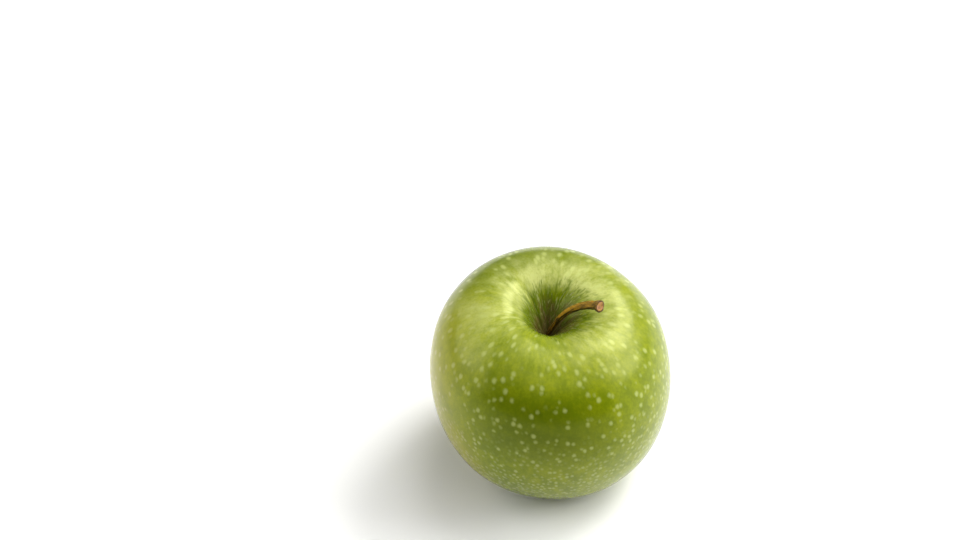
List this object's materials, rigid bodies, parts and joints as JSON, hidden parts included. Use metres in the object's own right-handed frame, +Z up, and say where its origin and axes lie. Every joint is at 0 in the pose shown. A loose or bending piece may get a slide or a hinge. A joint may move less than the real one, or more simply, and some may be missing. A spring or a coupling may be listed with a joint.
{
  "type": "green apple",
  "caption": "Round green apple with a funnel-shaped stem cavity, a curved woody stem and a dried calyx in the basin of its lobed base.",
  "frame": {"origin": "on the surface that the apple rests on, below the middle of its bounding box", "axes": "+Z up from the base to the stem along the core; the stem leans toward +X, and the higher shoulder of the crown is at +Y"},
  "size_m": [0.0776, 0.0792, 0.0722],
  "materials": {
    "skin": null,
    "stem_bark": "dry orange-brown bark with a paler cut end",
    "dried_calyx": "dull, dry and brown; wood stands in for dried leaf"
  },
  "bodies": {
    "root": {"fruit": "skin", "stem": "stem_bark", "sepal_1": "dried_calyx", "sepal_2": "dried_calyx", "sepal_3": "dried_calyx", "sepal_4": "dried_calyx", "sepal_5": "dried_calyx", "stamens": "dried_calyx"}
  },
  "joints": []
}
